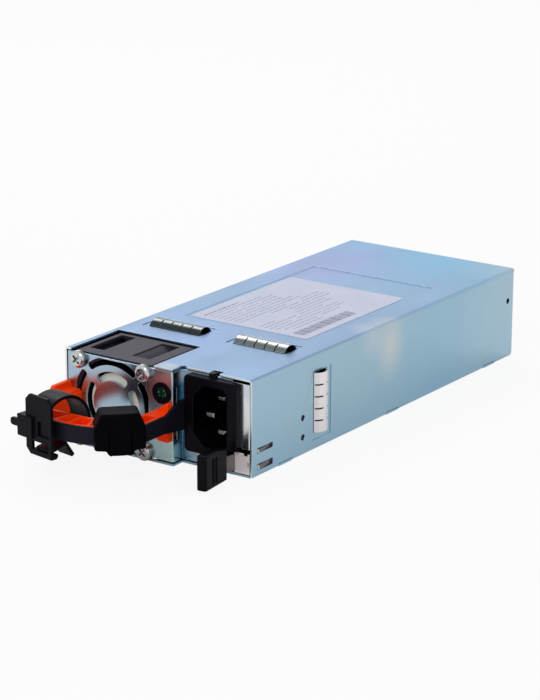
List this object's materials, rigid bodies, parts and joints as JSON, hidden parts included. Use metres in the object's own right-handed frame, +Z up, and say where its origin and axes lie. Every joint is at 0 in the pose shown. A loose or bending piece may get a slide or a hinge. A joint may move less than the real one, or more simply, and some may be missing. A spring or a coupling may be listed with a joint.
{
  "type": "hot swap server power supply",
  "caption": "Long flat hot swap server power supply with a fan, three pin mains inlet, bow handle, cord clip, sprung release latch and a rear card edge.",
  "frame": {"origin": "middle of the case's underside", "axes": "+X to the right when facing the mains inlet, +Y from the handle end to the card edge, +Z up"},
  "size_m": [0.0882, 0.2536, 0.0415],
  "materials": {
    "zinc_sheet": "pale passivated zinc plate, satin",
    "front_zinc": "pale passivated zinc plate, satin",
    "nickel": "bright nickel plate",
    "screw_steel": "bright plated",
    "orange_plastic": "moulded, slightly glossy",
    "black_plastic": "moulded, satin",
    "fan_plastic": "dark grey glass filled",
    "rotor_plastic": "satin black",
    "hub_disc": "plain cream disc",
    "lens": "dark green, clear",
    "clear_plastic": "clear",
    "plate_film": "bare pale plate",
    "pcb": "green laminate",
    "gold": "gold plated",
    "insulator": "dull film",
    "can_sleeve": "shrink sleeve",
    "ferrite": "dull ferrite",
    "tape": "yellow tape",
    "copper_winding": "enamelled copper",
    "capacitor_box": "yellow moulded",
    "heat_sink": "plain aluminium",
    "brass": "plain brass"
  },
  "bodies": {
    "case": {"base_tray": "zinc_sheet", "top_cover": "zinc_sheet", "front_panel": "front_zinc", "rear_panel": "zinc_sheet", "fan_frame": "fan_plastic", "fan_screws": "screw_steel", "lamp_bezel": "black_plastic", "lamp_lens": "lens", "light_pipe": "clear_plastic", "led_board": "pcb", "inlet_housing": "black_plastic", "line_pin": "nickel", "neutral_pin": "nickel", "earth_pin": "nickel", "handle": "orange_plastic", "cord_strap": "black_plastic", "strap_hood": "black_plastic", "latch_root": "nickel", "latch_rivets": "nickel", "contact_spring_top_left": "nickel", "contact_spring_top_right": "nickel", "contact_spring_side": "nickel", "rating_plate": "plate_film", "insulator_sheet": "insulator", "standoffs": "brass", "board_screws": "screw_steel", "main_board": "pcb", "gold_fingers": "gold", "bulk_capacitors": "can_sleeve", "transformer_core": "ferrite", "transformer_winding": "tape", "pfc_choke": "copper_winding", "emi_choke": "copper_winding", "filter_capacitor": "capacitor_box", "heatsink_primary": "heat_sink", "heatsink_secondary": "heat_sink", "output_capacitors": "can_sleeve"},
    "rotor": {"fan_rotor": "rotor_plastic", "fan_hub_label": "hub_disc"},
    "clip": {"cord_clip": "black_plastic"},
    "pawl": {"clip_pawl": "black_plastic"},
    "latch": {"latch_spring": "nickel", "release_lever": "black_plastic"}
  },
  "joints": [
    {"name": "fan_spin", "type": "hinge", "parent": "case", "child": "rotor", "pos_m": [-0.0196, -0.09, 0.01965], "axis": [0, 1, 0], "continuous": true},
    {"name": "clip_slide", "type": "slide", "parent": "case", "child": "clip", "axis": [0.9848, -0.1736, 0], "range_m": [-0.003, 0.003]},
    {"name": "pawl_release", "type": "hinge", "parent": "clip", "child": "pawl", "pos_m": [-0.0275, -0.13748, 0.01865], "axis": [0, 0, 1], "range_deg": [0, 4], "stiffness_Nm_per_rad": 0.05},
    {"name": "latch_release", "type": "hinge", "parent": "case", "child": "latch", "pos_m": [0.04155, -0.065, 0.006], "axis": [0, 0, -1], "range_deg": [0, 1.8], "stiffness_Nm_per_rad": 1.5}
  ]
}
